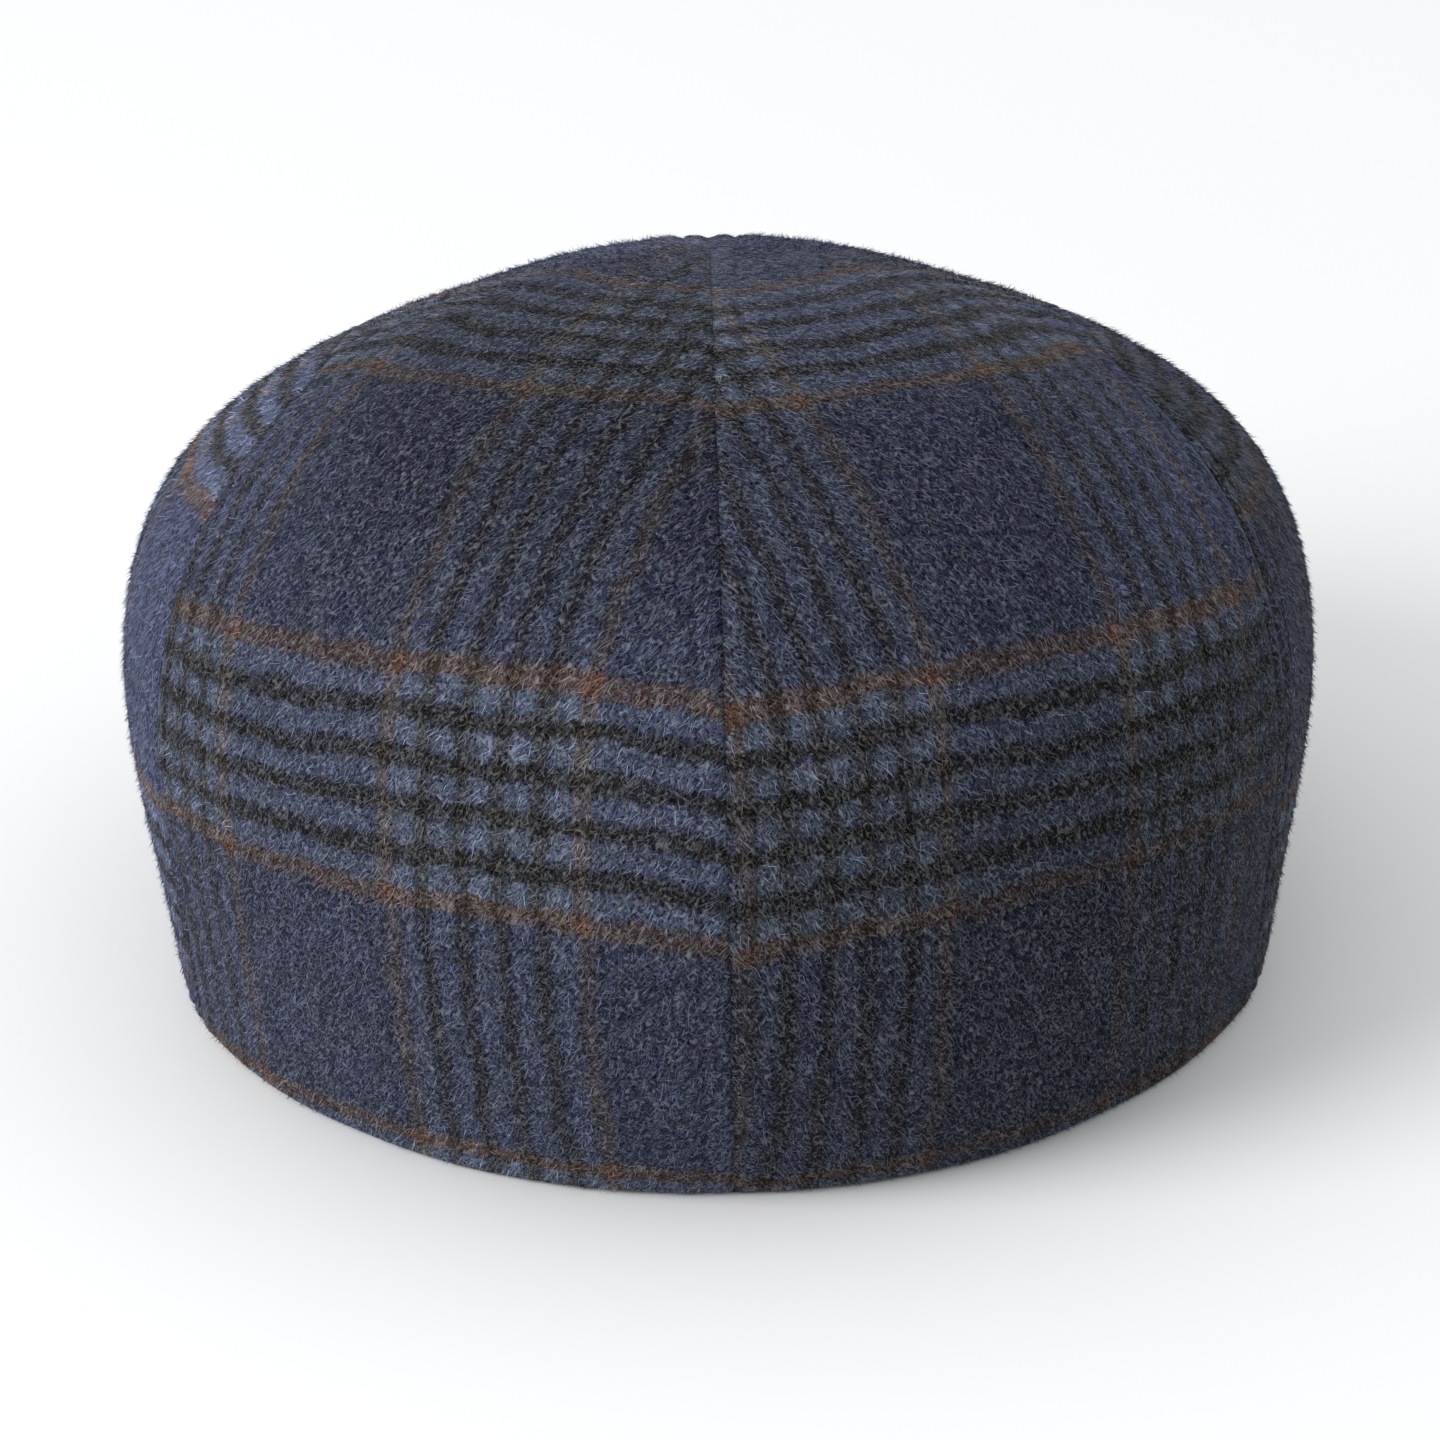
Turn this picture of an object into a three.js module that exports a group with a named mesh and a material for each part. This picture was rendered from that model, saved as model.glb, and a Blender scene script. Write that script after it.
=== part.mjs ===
// Flat cap: a plaid wool cap of four crown panels and a covered peak, resting on its hem.
// Millimetres, +Z up. The peak points to -Y, the back seam lies on +Y, the wearer's left is +X.
import * as THREE from 'three';

// Cloth and seams
const CLOTH_THICKNESS = 2.2;
const SEAM_GAP = 0.3;

// Crown outline. Each row is one level of the crown, from the hem up to the middle of the top.
// The levels are the control rows of a degree five curve, so the cloth runs inside them.
// half_width is the sideways reach, and the _y and _z columns place the level at the back,
// the side and the front. fullness swells a level between its back and its side, and
// bend is the power with which its height turns from the side to the back or the front.
const CROWN_LEVELS = [
  {
    half_width: 86, back_y: 81, back_z: 0, side_y: 0, side_z: 0, front_y: -98, front_z: 22,
    fullness: -0.08, bend: 2,
  },
  {
    half_width: 90, back_y: 107, back_z: 37, side_y: -2, side_z: 27, front_y: -130, front_z: 17,
    fullness: 0, bend: 2,
  },
  {
    half_width: 94, back_y: 103, back_z: 75, side_y: -6, side_z: 71, front_y: -158, front_z: 23,
    fullness: 0, bend: 2,
  },
  {
    half_width: 117, back_y: 95, back_z: 118, side_y: 3, side_z: 80, front_y: -103, front_z: 62,
    fullness: 0, bend: 1.6,
  },
  {
    half_width: 44, back_y: 38, back_z: 126, side_y: -6, side_z: 118, front_y: -63, front_z: 107,
    fullness: 0, bend: 1,
  },
  {
    half_width: 0, back_y: -6, back_z: 118, side_y: -6, side_z: 118, front_y: -6, front_z: 118,
    fullness: 0, bend: 1,
  },
];

// Side panel: an arch of cloth from the hem to the shoulder. Its angles run round the crown
// from the back seam, its height is a share of the way to the middle of the top, and lean is
// how many degrees each of its edges moves in at the hem.
const SIDE_PANEL = { back_angle: 64.5, front_angle: 148.5, height: 0.745, roundness: 4, lean: 14 };

// Peak: a covered board sewn under the front of the hem. Its far edge is a half oval.
const PEAK = {
  thickness: 4.4,
  corner_angle: 118,
  corner_overhang: 3,
  front_y: -155,
  front_z: 8,
  corner_z: 4.7,
  fullness: 0.85,
  tuck: 4.5,
  arch: 1.2,
};

const WOOL = { color: 0x43495f, roughness: 0.95, metalness: 0 };

// Steps of each panel's grid
const SIDE_STEPS = { up: 12, round: 16 };
const CENTRE_STEPS = { across: 12 };
const PEAK_STEPS = { across: 32, out: 7, nose: 2 };

const DEGREE = CROWN_LEVELS.length - 1;
const HEM_LEVEL = CROWN_LEVELS[0];
const TOP_LEVEL = CROWN_LEVELS[DEGREE];
const NORMAL_STEP = 0.001;
const NOSE_TURN = Math.PI / 3;
const HEM_TOLERANCE = 1e-6;
const toRadians = THREE.MathUtils.degToRad;
const mix = THREE.MathUtils.lerp;

function chooseCount(n, k) {
  let count = 1;
  for (let i = 1; i <= k; i += 1) count *= (n - k + i) / i;
  return count;
}

// One column of the level table at height t, which is 0 at the hem and 1 at the middle of the top
function levelValue(column, t) {
  return CROWN_LEVELS.reduce(
    (sum, level, k) => sum + chooseCount(DEGREE, k) * t ** k * (1 - t) ** (DEGREE - k) * level[column],
    0,
  );
}

// The crown is drawn from a flat disc of radius 1: its rim is the hem, its middle the top's middle,
// p points to the back and q to the wearer's left.
function crownPoint(p, q) {
  const t = 1 - Math.hypot(p, q);
  const angle = Math.atan2(q, p);
  const c = Math.cos(angle);
  const end = c >= 0 ? 'back' : 'front';
  const sideY = levelValue('side_y', t);
  const sideZ = levelValue('side_z', t);
  const reach = Math.abs(levelValue(`${end}_y`, t) - sideY);
  const rise = levelValue(`${end}_z`, t) - sideZ;
  const swell = 1 + levelValue('fullness', t) * c * c;
  return new THREE.Vector3(
    levelValue('half_width', t) * Math.sin(angle) * swell,
    sideY + reach * c,
    sideZ + rise * Math.abs(c) ** levelValue('bend', t),
  );
}

function crownNormal(p, q) {
  const back = crownPoint(p + NORMAL_STEP, q).sub(crownPoint(p - NORMAL_STEP, q));
  const left = crownPoint(p, q + NORMAL_STEP).sub(crownPoint(p, q - NORMAL_STEP));
  return left.cross(back).normalize();
}

// Inner face of the cloth. At the back and the sides the hem is cut level, so that it lies flat.
function crownInside(p, q) {
  const outside = crownPoint(p, q);
  const inside = outside.clone().addScaledVector(crownNormal(p, q), -CLOTH_THICKNESS);
  const radius = Math.hypot(p, q);
  if (radius > 1 - HEM_TOLERANCE) {
    const turn = p < 0 ? (p / radius) ** 2 : 0;
    inside.z = mix(outside.z, inside.z, turn);
  }
  return inside;
}

// Place on the disc of a point of the side panel's arch: x runs from -1 at the back edge to 1 at
// the front edge, y from 0 at the hem to 1 at the top edge, and inset draws the edges in.
function archPlace(x, y, inset) {
  const middleAngle = (SIDE_PANEL.back_angle + SIDE_PANEL.front_angle) / 2;
  const halfSpan = (SIDE_PANEL.front_angle - SIDE_PANEL.back_angle) / 2;
  const profileLength = HEM_LEVEL.half_width + TOP_LEVEL.side_z;
  const insetAngle = THREE.MathUtils.radToDeg(inset / HEM_LEVEL.half_width);
  const span = halfSpan - SIDE_PANEL.lean * (1 - y) ** 3 - insetAngle;
  const angle = toRadians(middleAngle + x * span);
  const radius = 1 - y * (SIDE_PANEL.height - inset / profileLength);
  return { p: radius * Math.cos(angle), q: radius * Math.sin(angle) };
}

// A square of x from -1 to 1 and y from 0 to 1, drawn in to the arch's round corners
function roundCorners(x, y) {
  const n = SIDE_PANEL.roundness;
  const reach = Math.max(Math.abs(x), y);
  const k = reach / (Math.abs(x) ** n + y ** n) ** (1 / n) || 0;
  return { x: x * k, y: y * k };
}

// Stations up the back edge of the arch, along its top and down its front edge
function archStations() {
  const { up, round } = SIDE_STEPS;
  const stations = [];
  for (let i = 0; i < up; i += 1) stations.push(roundCorners(-1, i / up));
  for (let i = 0; i <= round; i += 1) stations.push(roundCorners(-1 + (2 * i) / round, 1));
  for (let i = up - 1; i >= 0; i -= 1) stations.push(roundCorners(1, i / up));
  return stations;
}

// How far the hem bows out of the straight line from the middle seam to the side seam,
// at share w of the way, at the back (end 1) or at the front (end -1)
function hemBow(end, w) {
  const foot = archPlace(-end, 0, -SEAM_GAP / 2);
  const start = end > 0 ? 0 : Math.PI;
  const angle = mix(start, Math.atan2(foot.q, foot.p), w);
  return {
    p: Math.cos(angle) - mix(end, foot.p, w),
    q: Math.sin(angle) - mix(0, foot.q, w),
  };
}

// Place on the disc of a point of the left centre panel: w runs from 0 at the middle seam to 1 at
// the arch of the side panel.
function centrePlace(station, w) {
  const edge = archPlace(station.x, station.y, -SEAM_GAP / 2);
  const middle = -station.x * (1 - SIDE_PANEL.height * station.y);
  const bow = hemBow(middle >= 0 ? 1 : -1, w);
  return {
    p: mix(middle, edge.p, w) + Math.abs(middle) * bow.p,
    q: edge.q * w + Math.abs(middle) * bow.q,
  };
}

// Closed sheet between two grids of points. The direction of the face grid's rows, crossed with
// that of its columns, points out of the face. Each square is split along its shorter diagonal.
function closedSheet(face, lining) {
  const rows = face.length - 1;
  const columns = face[0].length - 1;
  const points = [...face.flat(), ...lining.flat()];
  const outer = (r, c) => r * (columns + 1) + c;
  const inner = (r, c) => outer(r, c) + (rows + 1) * (columns + 1);
  const index = [];
  const quad = (a, b, c, d) => {
    const split = points[a].distanceTo(points[c]) <= points[b].distanceTo(points[d]);
    index.push(...(split ? [a, b, c, a, c, d] : [b, c, d, b, d, a]));
  };
  for (let r = 0; r < rows; r += 1) {
    for (let c = 0; c < columns; c += 1) {
      quad(outer(r, c), outer(r + 1, c), outer(r + 1, c + 1), outer(r, c + 1));
      quad(inner(r, c), inner(r, c + 1), inner(r + 1, c + 1), inner(r + 1, c));
    }
    quad(outer(r + 1, 0), outer(r, 0), inner(r, 0), inner(r + 1, 0));
    quad(outer(r, columns), outer(r + 1, columns), inner(r + 1, columns), inner(r, columns));
  }
  for (let c = 0; c < columns; c += 1) {
    quad(outer(0, c), outer(0, c + 1), inner(0, c + 1), inner(0, c));
    quad(outer(rows, c + 1), outer(rows, c), inner(rows, c), inner(rows, c + 1));
  }
  const geometry = new THREE.BufferGeometry();
  geometry.setFromPoints(points);
  geometry.setIndex(index);
  geometry.computeVertexNormals();
  return geometry;
}

// Copy of a left-hand geometry for the wearer's right, with its faces turned to point out again
function mirrored(geometry) {
  const copy = geometry.clone().scale(-1, 1, 1);
  const index = copy.getIndex();
  for (let i = 0; i < index.count; i += 3) {
    const second = index.getX(i + 1);
    index.setX(i + 1, index.getX(i + 2));
    index.setX(i + 2, second);
  }
  copy.computeVertexNormals();
  return copy;
}

function crownSheet(places) {
  const face = places.map((row) => row.map(({ p, q }) => crownPoint(p, q)));
  const lining = places.map((row) => row.map(({ p, q }) => crownInside(p, q)));
  return closedSheet(face, lining);
}

// Centre panel: from the back hem up the back, over the top and down to the front hem
function centrePanel() {
  const places = archStations().map((station) => {
    const row = [];
    for (let i = 0; i <= CENTRE_STEPS.across; i += 1) {
      row.push(centrePlace(station, i / CENTRE_STEPS.across));
    }
    return row;
  });
  return crownSheet(places).translate(SEAM_GAP / 2, 0, 0);
}

function sidePanel() {
  const places = [];
  for (let j = 0; j <= SIDE_STEPS.up; j += 1) {
    const row = [];
    for (let i = 0; i <= SIDE_STEPS.round; i += 1) {
      const { x, y } = roundCorners(-1 + (2 * i) / SIDE_STEPS.round, j / SIDE_STEPS.up);
      row.push(archPlace(x, y, SEAM_GAP / 2));
    }
    places.push(row);
  }
  return crownSheet(places);
}

// Height given to the peak's top between the hem (v 0) and the far edge (v 1), at place u across
function peakArch(u, v) {
  return PEAK.arch * 4 * v * (1 - v) * (1 - u * u);
}

// Peak: u runs from -1 at the wearer's right corner to 1 at the left one. The board starts under
// the hem, a little inside it, runs out below the crown's front and ends in a round nose.
function peak() {
  const halfThickness = PEAK.thickness / 2;
  const cornerAngle = toRadians(PEAK.corner_angle);
  const corner = crownPoint(Math.cos(cornerAngle), Math.sin(cornerAngle));
  const hemPoint = (u) => {
    const angle = Math.PI - u * (Math.PI - cornerAngle);
    const hem = crownPoint(Math.cos(angle), Math.sin(angle));
    return hem.setZ(hem.z - SEAM_GAP);
  };
  const tuckPoint = (u) => {
    const hem = hemPoint(u);
    const inward = new THREE.Vector3(-hem.x, -hem.y, 0).setLength(PEAK.tuck);
    return hem.add(inward);
  };
  const farPoint = (u) => {
    const angle = (u * Math.PI) / 2;
    const forward = Math.cos(angle) ** PEAK.fullness || 0;
    return new THREE.Vector3(
      (corner.x + PEAK.corner_overhang) * Math.sin(angle),
      mix(corner.y, PEAK.front_y, forward),
      mix(PEAK.corner_z, PEAK.front_z, forward),
    );
  };
  const nosePoint = (u, turn) => {
    const far = farPoint(u);
    const outward = new THREE.Vector3(far.x, far.y - corner.y + halfThickness, 0);
    return far.add(outward.setLength(halfThickness * Math.sin(turn)));
  };
  const rows = [{ pointAt: tuckPoint, drop: 0 }];
  for (let j = 0; j <= PEAK_STEPS.out; j += 1) {
    const v = j / PEAK_STEPS.out;
    const pointAt = (u) => {
      const point = hemPoint(u).lerp(farPoint(u), v);
      return point.setZ(point.z + peakArch(u, v));
    };
    rows.push({ pointAt, drop: 0 });
  }
  for (let k = 1; k <= PEAK_STEPS.nose; k += 1) {
    const turn = (k * NOSE_TURN) / PEAK_STEPS.nose;
    rows.push({ pointAt: (u) => nosePoint(u, turn), drop: halfThickness * (1 - Math.cos(turn)) });
  }
  const places = Array.from({ length: PEAK_STEPS.across + 1 }, (_, i) => (2 * i) / PEAK_STEPS.across - 1);
  const faceAt = (height) => rows.map(
    ({ pointAt, drop }) => places.map((u) => pointAt(u).add(new THREE.Vector3(0, 0, height(drop)))),
  );
  return closedSheet(faceAt((drop) => -drop), faceAt((drop) => drop - PEAK.thickness));
}

function clothMesh(name, geometry) {
  const mesh = new THREE.Mesh(geometry, new THREE.MeshStandardMaterial(WOOL));
  mesh.name = name;
  return mesh;
}

const centre = centrePanel();
const side = sidePanel();
const cap = new THREE.Group();
cap.add(
  clothMesh('crown_left', centre),
  clothMesh('crown_right', mirrored(centre)),
  clothMesh('side_left', side),
  clothMesh('side_right', mirrored(side)),
  clothMesh('peak', peak()),
);

// The origin is the middle of the cap's box, at the level that the hem rests on
const box = new THREE.Box3().setFromObject(cap);
const boxMiddle = box.getCenter(new THREE.Vector3());
cap.position.set(-boxMiddle.x, -boxMiddle.y, -box.min.z);

export default cap;
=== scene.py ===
import math
from types import SimpleNamespace

import bmesh
import bpy
import numpy as np
from mathutils import Matrix, Vector
from mathutils.kdtree import KDTree


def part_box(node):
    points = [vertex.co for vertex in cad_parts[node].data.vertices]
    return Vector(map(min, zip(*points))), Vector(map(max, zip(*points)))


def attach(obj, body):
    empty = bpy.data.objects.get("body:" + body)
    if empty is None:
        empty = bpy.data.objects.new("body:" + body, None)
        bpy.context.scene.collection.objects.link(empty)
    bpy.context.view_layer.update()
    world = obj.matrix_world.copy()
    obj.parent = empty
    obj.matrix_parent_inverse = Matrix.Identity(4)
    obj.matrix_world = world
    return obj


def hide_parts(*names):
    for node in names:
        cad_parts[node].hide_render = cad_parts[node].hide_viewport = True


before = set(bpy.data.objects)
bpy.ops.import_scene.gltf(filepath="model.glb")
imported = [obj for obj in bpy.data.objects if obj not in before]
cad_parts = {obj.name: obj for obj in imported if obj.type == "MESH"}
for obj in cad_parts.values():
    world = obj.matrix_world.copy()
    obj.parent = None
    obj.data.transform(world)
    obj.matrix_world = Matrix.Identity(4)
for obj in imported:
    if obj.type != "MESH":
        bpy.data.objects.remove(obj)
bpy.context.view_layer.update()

bl_info = {
    "name": "Flat Cap",
    "version": (1, 0, 0),
    "blender": (4, 5, 0),
    "location": "View3D > Sidebar > Flat Cap",
    "description": "Builds a checked wool flat cap of four crown panels and a covered peak",
    "category": "Add Mesh",
}

MM = 0.001
SIDES = ("left", "right")
# Kinds of crown panel, and the start of the names of the CAD nodes that each kind replaces
CROWN_NODES = {"centre": "crown", "side": "side"}

# Names of the maps that the pieces carry. A map holds millimetres divided by the map unit.
CLOTH_MAP = "cloth"
SEAM_MAP = "seam"
# Map of painted light and shade: a factor on the colour at each place
PAINTED_LIGHT_MAP = "tone"
STRAND_MAP = "strand"
BAKE_MAP = "OFBake"
MAP_UNIT = 100.0

# Steps of each kind of piece's mesh, along it and across it, and how far they crowd to its edges
GRIDS = {"centre": (168, 96), "side": (96, 96), "peak": (80, 160)}
CROWDING = {"centre": (0.6, 0.75), "side": (0.6, 0.7), "peak": 0.5}
# Points on each seam, on the hem and on the peak's nose, to which distances are measured
SEAM_SAMPLES = 2400
NOSE_SAMPLES = 800

# The crown's levels from the hem to the middle of the top, the control rows of a smooth curve:
# half width, then the level's y and z at the back, the side and the front, how far it swells
# between back and side, and the power with which its height turns towards back or front.
LEVEL_COLUMNS = (
    "half_width", "back_y", "back_z", "side_y", "side_z", "front_y", "front_z", "fullness", "bend",
)
CROWN_LEVELS = np.array(
    [
        (86, 81, 0, 0, 0, -98, 22, -0.08, 2),
        (90, 107, 37, -2, 27, -130, 17, 0, 2),
        (94, 103, 75, -6, 71, -158, 23, 0, 2),
        (117, 95, 118, 3, 80, -103, 62, 0, 1.6),
        (44, 38, 126, -6, 118, -63, 107, 0, 1),
        (0, -6, 118, -6, 118, -6, 118, 0, 1),
    ],
    float,
)
# Side panel: an arch between two angles round the crown from the back seam, up to a share of the
# way to the middle of the top, with its edges drawn in at the hem by a lean in degrees
SIDE_BACK_ANGLE = 64.5
SIDE_FRONT_ANGLE = 148.5
SIDE_HEIGHT = 0.745
SIDE_ROUNDNESS = 4
SIDE_LEAN = 14.0
ARCH_SIDE_SHARE = 0.3
# Peak: a covered board. Its far edge is a half oval, it is tucked in under the hem, and it thins
# towards its corners. The shares end its tuck and start its nose on the way out.
PEAK_THICKNESS = 4.4
PEAK_CORNER_ANGLE = 118.0
PEAK_CORNER_OVERHANG = 3.0
PEAK_FRONT_Y = -155.0
PEAK_FRONT_Z = 8.0
PEAK_CORNER_Z = 4.7
PEAK_FULLNESS = 0.85
PEAK_TUCK = 4.5
PEAK_ARCH = 1.2
PEAK_TAPER = 0.7
PEAK_TAPER_POWER = 14
PEAK_TUCK_SHARE = 0.06
PEAK_NOSE_SHARE = 0.9
SEAM_GAP = 0.3

# Where each panel lies on the flat cloth: u across the cloth from the seam outwards and v up it.
# A rust line of the warp lies at u 0 and one of the weft at v 0. A rise is measured up the crown
# from the hem, at an angle round it from the back seam.
CENTRE_RISE_ANGLE = 25.0
CENTRE_RISE_START = 55.2
SIDE_RISE_ANGLE = 80.0
SIDE_LAY = {"left": {"start": 34.0, "rise": 90.3}, "right": {"start": 0.0, "rise": 85.5}}
CENTRE_LAY = {
    "left": {"start": -22.4, "slope": 0.465, "gather": 0.0, "dip": 6.5, "reach": 25.0, "level": 0.35},
    "right": {"start": -3.9, "slope": 0.45, "gather": 0.05, "dip": 8.5, "reach": 40.0, "level": 0.34},
}
# Past this rise the warp turns away from the middle seam, and below the other one a little too
LAY_TURN = 88.0
LAY_SOFTNESS = 14.0
FOOT_RISE = 50.0
FOOT_SLOPE = 0.09
# The weft is drawn up over the shoulder and lifted at the hem
DRAWN_UP = 3.4
DRAWN_RISE = (90.0, 130.0)
HEM_LIFT = 0.1
HEM_LIFT_RISE = 15.0
# Past this angle from the back seam the weft runs down to the front instead of up
OVER_ANGLE = 70.0

# Painted light and shade on each panel, a factor on its colour: on the wall and on the top, each
# by the middle seam and by the side seam, between which rises up the panel it turns from wall to
# top, how much higher it turns by the side seam, and on the side panel
PANEL_PAINTED_LIGHT = {
    "left": {"wall": (0.94, 0.94), "top": (0.56, 1.4), "turn": (90.0, 122.0), "later": 0.0, "ear": 1.8},
    "right": {"wall": (0.57, 0.4), "top": (0.8, 1.6), "turn": (60.0, 95.0), "later": 18.0, "ear": 0.68},
}
WALL_REACH = (5.0, 60.0)
EDGE_REACH = (50.0, 95.0)
# Painted light on the shoulder of the middle seam: how much, how far up the panel, over what rise
# and how far to the sides. Painted light too on the cloth just above the hem, and a painted
# highlight on the middle of the top, within a share of the crown's radius.
SHOULDER_GAIN = 0.14
SHOULDER_RISE = 82.0
SHOULDER_REACH = 18.0
SHOULDER_SIDE = 32.0
HEM_GAIN = 0.2
HEM_REACH = 18.0
CREST_GAIN = 0.45
CREST_REACH = 0.2
# Painted light of front and peak, and the degrees from the back seam between which it takes over
FRONT_PAINTED_LIGHT = 1.14
FRONT_TURN = (80.0, 125.0)

# Raised fibres keep this far above what the cap stands on, have this share of their length below
# the cloth's face, and lie flatter the nearer they are to a seam
FIBRE_CLEARANCE = 0.1
FIBRE_SUNK = 0.15
FIBRE_SEAM_REACH = 8.0
FIBRE_FLATTEST = 0.2
# The least lift and what chance adds, and the range of the lengths, as shares of the settings
FIBRE_LIFTS = (0.25, 1.7)
FIBRE_LENGTHS = (0.6, 1.4)
# Pieces that have a nap, and the kind of their mesh
NAPPED = {f"{kind}_panel_{side}": kind for kind in CROWN_NODES for side in SIDES}
NAPPED["peak_cover"] = "peak"

# Yarn colours from the middle of a striped band outwards. An edge is a share of the band's half
# width, and the fine line's own middle lies at 1.
YARNS = ("Ground", "Light", "Dark", "Line")
BAND_STRIPES = (
    ("Light", 0.11), ("Dark", 0.29), ("Light", 0.51),
    ("Dark", 0.69), ("Light", 0.91), ("Line", 1.09),
)
BAND_REACH = 2.4
EDGE_SOFTNESS = 0.03
# How far the yarns blur into each other and wander, in millimetres, and the scales of both noises
YARN_BLUR = 2.6
YARN_WANDER = 4.0
BLUR_SCALE = 0.9
WANDER_SCALE = 0.09
# Layers of the brushed nap: place in the noise's depth, stretch along the nap and scale
NAP_LAYERS = ((0.0, 0.85, 0.85), (7.0, 1.25, 1.0), (19.0, 1.6, 0.75))
# Undyed wool: fibres that lie in the cloth, and a cool and a warm one of those that stand
LYING_WOOL = (0.26, 0.27, 0.30, 1)
COOL_WOOL = (0.26, 0.30, 0.37, 1)
WARM_WOOL = (0.32, 0.28, 0.23, 1)
CLOTH_FINISH = {
    "Roughness": 0.95,
    "Specular IOR Level": 0.05,
    "Sheen Weight": 0.4,
    "Sheen Roughness": 0.1,
    "Sheen Tint": (0.8, 0.85, 1.0, 1),
}
NAP_FINISH = {"Roughness": 0.9, "Specular IOR Level": 0.1, "Sheen Weight": 0.1, "Sheen Roughness": 0.3}
FLOOR_FINISH = {"Base Color": (0.86, 0.86, 0.86, 1), "Roughness": 1.0, "Specular IOR Level": 0.0}

# Camera: the point that its height and turn are measured from, how far below it the camera aims,
# and the photograph's side and the lens in its pixels
CAP_TARGET = (0.0, 0.0, 60.0)
AIM_BELOW = 17.5
PHOTO_SIDE = 1440
PHOTO_FOCUS = 6380.0
SENSOR = 36.0
# Studio, in metres
CLIP = (0.05, 50.0)
FLOOR_HALF = 6.0
KEY_PLACE = (1.5, 0.9, 1.0)
KEY_TARGET = (0.0, 0.0, 0.05)
KEY_SIZE = 1.2
STUDIO_COLOUR = (0.96, 0.98, 1.0, 1)
STUDIO_STRENGTH = 0.9


# Shape of the crown

def mix(a, b, share):
    return a + (b - a) * share


def unit(vectors):
    return vectors / np.linalg.norm(vectors, axis=-1, keepdims=True)


def level_values(t):
    """Every column of the level table at heights t, 0 at the hem and 1 at the top's middle."""
    degree = len(CROWN_LEVELS) - 1
    weights = [math.comb(degree, k) * t**k * (1 - t) ** (degree - k) for k in range(degree + 1)]
    blended = np.tensordot(np.array(weights), CROWN_LEVELS, axes=(0, 0))
    return dict(zip(LEVEL_COLUMNS, np.moveaxis(blended, -1, 0)))


def crown_points(p, q):
    """Points of the crown's outer face over a flat disc of radius 1, whose rim is the hem.

    p points to the back and q to the wearer's left.
    """
    v = level_values(1 - np.hypot(p, q))
    angle = np.arctan2(q, p)
    c = np.cos(angle)
    behind = c >= 0
    reach = np.where(behind, v["back_y"] - v["side_y"], v["side_y"] - v["front_y"])
    rise = np.where(behind, v["back_z"], v["front_z"]) - v["side_z"]
    x = v["half_width"] * np.sin(angle) * (1 + v["fullness"] * c * c)
    y = v["side_y"] + reach * c
    z = v["side_z"] + rise * np.abs(c) ** v["bend"]
    return np.stack([x, y, z], -1)


def crown_normals(p, q, step=0.001):
    back = crown_points(p + step, q) - crown_points(p - step, q)
    left = crown_points(p, q + step) - crown_points(p, q - step)
    return unit(np.cross(left, back))


def round_corners(x, y):
    """A square of x from -1 to 1 and y from 0 to 1, drawn in to the arch's round corners."""
    n = SIDE_ROUNDNESS
    reach = np.maximum(np.abs(x), y)
    spread = (np.abs(x) ** n + y**n) ** (1 / n)
    k = np.divide(reach, spread, out=np.zeros_like(spread), where=spread > 0)
    return x * k, y * k


def arch_place(x, y):
    """Place on the disc of a point of the side panel's arch, x from -1 at the back edge to 1."""
    middle = (SIDE_BACK_ANGLE + SIDE_FRONT_ANGLE) / 2
    span = (SIDE_FRONT_ANGLE - SIDE_BACK_ANGLE) / 2 - SIDE_LEAN * (1 - y) ** 3
    angle = np.radians(middle + x * span)
    radius = 1 - y * SIDE_HEIGHT
    return radius * np.cos(angle), radius * np.sin(angle)


def arch_station(s):
    """Point of the arch's edge at share s: up the back edge, along the top, down the front."""
    y = np.minimum(np.minimum(s, 1 - s) / ARCH_SIDE_SHARE, 1)
    x = np.clip((s - 0.5) / (0.5 - ARCH_SIDE_SHARE), -1, 1)
    return round_corners(x, y)


def hem_bow(end, w):
    """How far the hem bows out of a straight line between the middle seam and the side seam."""
    foot_p, foot_q = arch_place(-end, np.zeros_like(end))
    start = np.where(end > 0, 0.0, np.pi)
    angle = mix(start, np.arctan2(foot_q, foot_p), w)
    return np.cos(angle) - mix(end, foot_p, w), np.sin(angle) - foot_q * w


def centre_place(s, w):
    """Place on the disc of a point of the left centre panel.

    s runs along the panel from the back hem over the top to the front hem, and w across it
    from the middle seam to the side panel's arch.
    """
    x, y = arch_station(s)
    edge_p, edge_q = arch_place(x, y)
    middle = -x * (1 - SIDE_HEIGHT * y)
    bow_p, bow_q = hem_bow(np.where(middle >= 0, 1.0, -1.0), w)
    return mix(middle, edge_p, w) + np.abs(middle) * bow_p, edge_q * w + np.abs(middle) * bow_q


def side_place(x, y):
    return arch_place(*round_corners(x, y))


def crowd(s, share):
    """Moves even steps from 0 to 1 towards both ends, so that the edges have the finest mesh."""
    return mix(s, (1 - np.cos(np.pi * s)) / 2, share)


def frame_shift():
    """From the crown's own centre to the frame's origin, along y, in millimetres."""
    back = crown_points(np.linspace(0.5, 1, 2000), np.zeros(2000))[:, 1].max()
    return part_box("crown_left")[1].y / MM - back


SHIFT_Y = frame_shift()


# Settings

def setting(name, default, description, **kind):
    return bpy.props.FloatProperty(name=name, default=default, description=description, **kind)


def length(name, millimetres, description):
    return setting(name, millimetres * MM, description, unit="LENGTH", precision=5)


def share(name, default, description):
    return setting(name, default, description, min=0, soft_max=1, subtype="FACTOR")


def angle(name, degrees, description):
    return setting(name, math.radians(degrees), description, subtype="ANGLE")


def colour(name, default, description):
    return bpy.props.FloatVectorProperty(
        name=name, description=description, default=default, min=0, max=1, subtype="COLOR"
    )


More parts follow.
